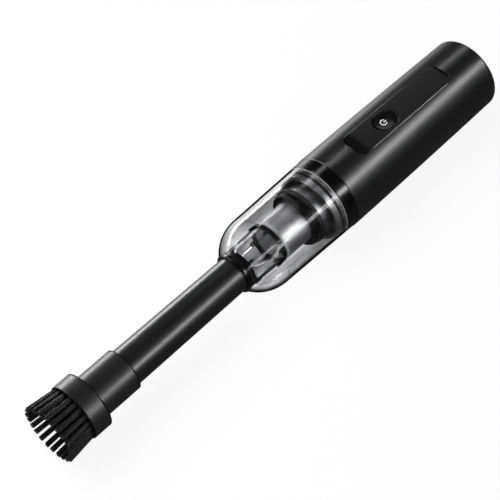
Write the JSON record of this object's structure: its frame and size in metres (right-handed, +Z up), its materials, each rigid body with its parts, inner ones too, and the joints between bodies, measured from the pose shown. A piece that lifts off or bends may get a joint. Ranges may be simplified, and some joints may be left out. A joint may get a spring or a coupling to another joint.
{
  "type": "handheld vacuum cleaner",
  "caption": "Slim cordless handheld vacuum cleaner with a clear domed dust cup, an extension tube and a round dusting brush.",
  "frame": {"origin": "on the surface it lies on, under the middle of its length", "axes": "+X along the machine towards its tail, +Z up through the power button, +Y to its left seen from the tail"},
  "size_m": [0.4404, 0.062, 0.062],
  "materials": {
    "body_shell": "satin black plastic",
    "control_panel": "matt black plastic",
    "button": "black plastic with a printed power sign",
    "switch": "black plastic",
    "indicator": "clear light pipe",
    "board": "green laminate",
    "screws": "zinc-plated steel",
    "front_ring": "high-gloss black plastic",
    "bulkhead": "dark plastic",
    "seal_rubber": "black rubber",
    "motor": "zinc-plated steel can",
    "motor_support": "glass-filled plastic",
    "fan": "white plastic",
    "shaft": "ground steel",
    "cell": "sleeved lithium cell",
    "tabs": "nickel strip",
    "tail_cap": "satin black plastic",
    "socket": "plated steel",
    "clear_cup": "clear polycarbonate",
    "neck_ring": "black plastic",
    "clear_duct": "clear smoked polycarbonate",
    "filter_frame": "grey plastic",
    "filter_mesh": "fine steel mesh",
    "filter_paper": "pleated filter paper",
    "tube": "satin black plastic",
    "brush_plastic": "satin black plastic",
    "bristle": "black nylon"
  },
  "bodies": {
    "machine": {"body_shell": "body_shell", "control_panel": "control_panel", "tact_switch": "switch", "indicator_lens": "indicator", "main_board": "board", "screws": "screws", "front_ring": "front_ring", "front_bulkhead": "bulkhead", "cup_seal": "seal_rubber", "motor_can": "motor", "motor_mount": "motor_support", "motor_damper": "seal_rubber", "motor_cradle": "motor_support", "fan_shroud": "motor_support", "battery_cell_1": "cell", "battery_cell_2": "cell", "battery_tray": "motor_support", "cell_tabs": "tabs", "tail_cap": "tail_cap", "charge_socket": "socket", "charge_board": "board"},
    "button": {"power_button": "button"},
    "rotor": {"rotor_shaft": "shaft", "impeller": "fan"},
    "cup": {"dust_cup": "clear_cup", "neck_ring": "neck_ring", "inlet_duct": "clear_duct", "duct_ring": "neck_ring"},
    "filter": {"filter_frame": "filter_frame", "filter_mesh": "filter_mesh", "filter_seal": "seal_rubber", "filter_element": "filter_paper"},
    "tube": {"extension_tube": "tube"},
    "brush": {"brush_sleeve": "brush_plastic", "brush_collar": "brush_plastic", "tuft_ring": "brush_plastic", "bristles": "bristle"}
  },
  "joints": [
    {"name": "button_press", "type": "slide", "parent": "machine", "child": "button", "axis": [0, 0, -1], "range_m": [0, 0.0012], "stiffness_N_per_m": 900},
    {"name": "fan_spin", "type": "hinge", "parent": "machine", "child": "rotor", "pos_m": [0.07885, 0, 0.03105], "axis": [1, 0, 0], "continuous": true},
    {"name": "cup_pull", "type": "slide", "parent": "machine", "child": "cup", "axis": [-1, 0, 0], "range_m": [0, 0.1]},
    {"name": "filter_pull", "type": "slide", "parent": "machine", "child": "filter", "axis": [-1, 0, 0], "range_m": [0, 0.025]},
    {"name": "tube_pull", "type": "slide", "parent": "cup", "child": "tube", "axis": [-1, 0, 0], "range_m": [0, 0.04]},
    {"name": "brush_pull", "type": "slide", "parent": "tube", "child": "brush", "axis": [-1, 0, 0], "range_m": [0, 0.04]}
  ],
  "couplings": [
    {"joint": "filter_pull", "follows": "cup_pull", "ratio": 0.25}
  ]
}
